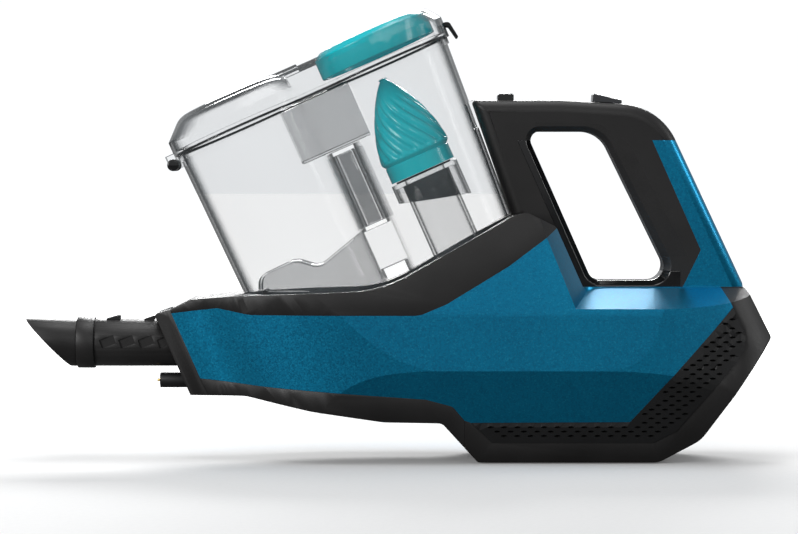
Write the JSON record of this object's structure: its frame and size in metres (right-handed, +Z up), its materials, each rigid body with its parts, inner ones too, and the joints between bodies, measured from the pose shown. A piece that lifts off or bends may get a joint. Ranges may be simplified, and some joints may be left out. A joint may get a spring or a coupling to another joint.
{
  "type": "handheld vacuum cleaner",
  "caption": "Cordless handheld cyclone vacuum with a leaning clear dust bucket, loop grip, front crevice tool and wide base.",
  "frame": {"origin": "on the floor, under the middle of the overall length and width", "axes": "+X to the grip end, -X to the nozzle, +Z up, Y across"},
  "size_m": [0.503, 0.116, 0.3049],
  "materials": {
    "blue": "metallic blue paint, glossy",
    "black": "fine moulded texture",
    "dark_grey": "moulded",
    "gloss_black": "polished",
    "soft_grip": "soft touch",
    "seal": "soft",
    "foam": "open cell foam",
    "contact": "plated",
    "steel": "machined",
    "cell": "wrapped",
    "board": "printed board",
    "chrome_trim": "glossy",
    "pale_grey": "satin",
    "clear": "clear moulding",
    "clear_grey": "smoked clear moulding",
    "teal": "tinted translucent"
  },
  "bodies": {
    "body": {"side_shell_left": "blue", "side_shell_right": "blue", "handle_spine": "blue", "cradle_frame": "black", "front_bezel": "black", "keel_cover": "black", "base_frame": "black", "exhaust_grille_left": "dark_grey", "exhaust_grille_right": "dark_grey", "handle_left": "black", "handle_right": "black", "hole_trim": "gloss_black", "grip_insert": "soft_grip", "inlet_duct": "dark_grey", "inlet_seal": "seal", "connector_plug": "dark_grey", "connector_pins": "contact", "filter_tray": "dark_grey", "filter_foam": "foam", "motor_can": "steel", "motor_mount": "dark_grey", "fan_shroud": "dark_grey", "front_bearing": "steel", "rear_bearing": "steel", "stator_ring": "steel", "battery_case": "dark_grey", "battery_cells": "cell", "control_board": "board", "switch_module": "dark_grey", "charge_socket": "dark_grey", "exhaust_filter_left": "foam", "exhaust_filter_right": "foam", "shell_screws": "steel", "rubber_feet": "seal", "release_spring": "steel", "bucket_latch": "dark_grey"},
    "bucket": {"dust_bucket": "clear", "inlet_ramp": "clear_grey", "cyclone_baffle": "clear_grey", "vortex_skirt": "clear_grey", "hinge_pin": "steel", "cone_gasket": "seal"},
    "lid": {"lid_frame": "clear", "lid_cap": "teal", "lid_seal": "seal", "lid_tab": "black"},
    "cone": {"vortex_cone": "teal"},
    "flap": {"inlet_flap": "seal"},
    "rotor": {"rotor_shaft": "steel", "rotor_core": "steel", "impeller": "dark_grey"},
    "tool": {"tool_tube": "black", "tool_nozzle": "black", "tool_collar": "black"},
    "tool_key": {"tool_button": "dark_grey"},
    "tube_key": {"tube_release_button": "pale_grey"},
    "slider": {"power_slider": "chrome_trim"},
    "release": {"release_button": "gloss_black"}
  },
  "joints": [
    {"name": "power_slide", "type": "slide", "parent": "body", "child": "slider", "axis": [0.9981, 0, -0.0616], "range_m": [-0.007, 0]},
    {"name": "release_press", "type": "slide", "parent": "body", "child": "release", "axis": [0, 0, -1], "range_m": [0, 0.0025], "stiffness_N_per_m": 300, "springref_m": -0.002, "deforming": ["release_spring"]},
    {"name": "bucket_lift", "type": "slide", "parent": "body", "child": "bucket", "axis": [-0.4067, 0, 0.9135], "range_m": [0, 0.13]},
    {"name": "lid_hinge", "type": "hinge", "parent": "bucket", "child": "lid", "pos_m": [-0.15009, 0, 0.19917], "axis": [0, -1, 0], "range_deg": [0, 105]},
    {"name": "cone_twist", "type": "hinge", "parent": "bucket", "child": "cone", "pos_m": [0.0187, 0, 0.19551], "axis": [-0.4067, 0, 0.9135], "range_deg": [0, 40]},
    {"name": "flap_swing", "type": "hinge", "parent": "bucket", "child": "flap", "pos_m": [-0.08787, 0, 0.11346], "axis": [0, -1, 0], "range_deg": [0, 35]},
    {"name": "rotor_spin", "type": "hinge", "parent": "body", "child": "rotor", "pos_m": [0.07198, 0, 0.07583], "axis": [-0.4067, 0, 0.9135], "continuous": true},
    {"name": "tool_pull", "type": "slide", "parent": "body", "child": "tool", "axis": [-1, 0, 0], "range_m": [0, 0.07]},
    {"name": "tool_key_press", "type": "slide", "parent": "tool", "child": "tool_key", "axis": [0, 0, -1], "range_m": [0, 0.0012], "stiffness_N_per_m": 400, "springref_m": -0.001},
    {"name": "tube_key_press", "type": "slide", "parent": "body", "child": "tube_key", "axis": [0, 0, -1], "range_m": [0, 0.0014], "stiffness_N_per_m": 400, "springref_m": -0.001}
  ]
}
